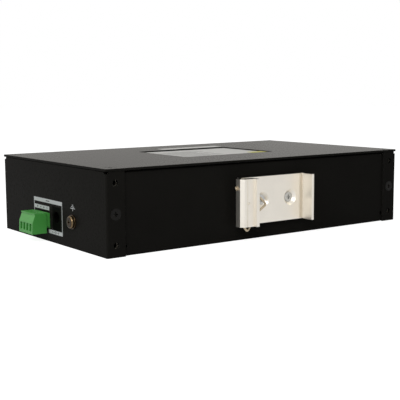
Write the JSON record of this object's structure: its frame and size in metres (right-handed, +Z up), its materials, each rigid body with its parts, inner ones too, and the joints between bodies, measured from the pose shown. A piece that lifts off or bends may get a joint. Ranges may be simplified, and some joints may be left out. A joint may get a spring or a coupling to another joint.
{
  "type": "din rail ethernet switch",
  "caption": "Flat black steel network switch with a rail clip and wire spring on its back wall, a pluggable power terminal, a barrel jack and a ground screw on one end.",
  "frame": {"origin": "centre of the box's underside, the face that it rests on", "axes": "+X along the box, away from its power end; -Y out of the back wall that carries the rail clip, so the network sockets look towards +Y; +Z up, out of the cover"},
  "size_m": [0.2166, 0.1302, 0.0441],
  "materials": {
    "black_powder_coat": "fine-textured satin powder coat",
    "bright_screw_steel": "zinc-plated steel",
    "black_screw_steel": "black zinc-plated steel",
    "nut_steel": "zinc-plated steel",
    "label_film": "satin silver-white film",
    "seal_paper": "pale yellow matt paper",
    "clip_aluminium": "extruded, satin",
    "spring_wire": "drawn spring wire",
    "board_laminate": "green solder resist",
    "standoff_steel": "zinc-plated steel",
    "crystal_can": "nickel-plated can",
    "black_mould": "matt moulded epoxy",
    "capacitor_sleeve": "heat-shrink sleeve",
    "heatsink_aluminium": "black anodised",
    "socket_plastic": "black moulded polyester",
    "contact_gold": "gold-plated contacts",
    "cage_nickel": "nickel-plated sheet",
    "light_pipe_plastic": "clear moulded plastic",
    "lamp_package": "moulded lamp",
    "terminal_green": "green moulded polyamide",
    "tinned_copper": "tinned copper alloy",
    "clamp_steel": "zinc-plated steel",
    "jack_plastic": "black moulded nylon",
    "jack_pin_metal": "nickel-plated brass",
    "ground_brass": "nickel-washed brass"
  },
  "bodies": {
    "root": {"board_screws": "standoff_steel", "board_standoffs": "standoff_steel", "chassis_tray": "black_powder_coat", "clip_nuts": "nut_steel", "clip_screws": "bright_screw_steel", "clip_spring": "spring_wire", "clock_crystals": "crystal_can", "cover_nuts": "nut_steel", "cover_plate": "black_powder_coat", "cover_screws": "black_screw_steel", "din_clip": "clip_aluminium", "end_cap_screws": "black_screw_steel", "ground_nut": "nut_steel", "ground_screw": "ground_brass", "ground_washer": "ground_brass", "header_pins": "tinned_copper", "heatsink": "heatsink_aluminium", "inner_module_cage": "cage_nickel", "input_diodes": "black_mould", "input_fuse": "black_mould", "jack_pin": "jack_pin_metal", "left_end_cap": "black_powder_coat", "left_socket_block": "socket_plastic", "left_socket_contacts": "contact_gold", "light_pipes": "light_pipe_plastic", "main_board": "board_laminate", "memory_chips": "black_mould", "module_connectors": "black_mould", "outer_module_cage": "cage_nickel", "port_driver_chips": "black_mould", "port_transformers": "black_mould", "power_capacitors": "capacitor_sleeve", "power_coils": "black_mould", "power_controller": "black_mould", "power_header": "terminal_green", "power_jack": "jack_plastic", "rating_label": "label_film", "right_end_cap": "black_powder_coat", "right_socket_block": "socket_plastic", "right_socket_contacts": "contact_gold", "seal_sticker": "seal_paper", "status_lamps": "lamp_package", "strip_label": "label_film", "switch_chip": "black_mould", "wall_nuts": "nut_steel"},
    "plug": {"power_plug": "terminal_green", "plug_contacts": "tinned_copper"},
    "clamp_screw_1": {"clamp_screw_1": "clamp_steel"},
    "clamp_cage_1": {"clamp_cage_1": "clamp_steel"},
    "clamp_screw_2": {"clamp_screw_2": "clamp_steel"},
    "clamp_cage_2": {"clamp_cage_2": "clamp_steel"},
    "clamp_screw_3": {"clamp_screw_3": "clamp_steel"},
    "clamp_cage_3": {"clamp_cage_3": "clamp_steel"},
    "clamp_screw_4": {"clamp_screw_4": "clamp_steel"},
    "clamp_cage_4": {"clamp_cage_4": "clamp_steel"}
  },
  "joints": [
    {"name": "plug_pull", "type": "slide", "parent": "root", "child": "plug", "axis": [-1, 0, 0], "range_m": [0, 0.009]},
    {"name": "clamp_screw_1_turn", "type": "hinge", "parent": "plug", "child": "clamp_screw_1", "pos_m": [-0.1078, 0.00488, 0.0156], "axis": [0, 0, -1], "range_deg": [0, 1441]},
    {"name": "clamp_cage_1_lift", "type": "slide", "parent": "plug", "child": "clamp_cage_1", "axis": [0, 0, 1], "range_m": [0, 0.0016]},
    {"name": "clamp_screw_2_turn", "type": "hinge", "parent": "plug", "child": "clamp_screw_2", "pos_m": [-0.1078, 0.00869, 0.0156], "axis": [0, 0, -1], "range_deg": [0, 1441]},
    {"name": "clamp_cage_2_lift", "type": "slide", "parent": "plug", "child": "clamp_cage_2", "axis": [0, 0, 1], "range_m": [0, 0.0016]},
    {"name": "clamp_screw_3_turn", "type": "hinge", "parent": "plug", "child": "clamp_screw_3", "pos_m": [-0.1078, 0.01251, 0.0156], "axis": [0, 0, -1], "range_deg": [0, 1441]},
    {"name": "clamp_cage_3_lift", "type": "slide", "parent": "plug", "child": "clamp_cage_3", "axis": [0, 0, 1], "range_m": [0, 0.0016]},
    {"name": "clamp_screw_4_turn", "type": "hinge", "parent": "plug", "child": "clamp_screw_4", "pos_m": [-0.1078, 0.01631, 0.0156], "axis": [0, 0, -1], "range_deg": [0, 1441]},
    {"name": "clamp_cage_4_lift", "type": "slide", "parent": "plug", "child": "clamp_cage_4", "axis": [0, 0, 1], "range_m": [0, 0.0016]}
  ],
  "couplings": [
    {"joint": "clamp_screw_1_turn", "follows": "clamp_cage_1_lift", "rad_per_m": 15708},
    {"joint": "clamp_screw_2_turn", "follows": "clamp_cage_2_lift", "rad_per_m": 15708},
    {"joint": "clamp_screw_3_turn", "follows": "clamp_cage_3_lift", "rad_per_m": 15708},
    {"joint": "clamp_screw_4_turn", "follows": "clamp_cage_4_lift", "rad_per_m": 15708}
  ]
}
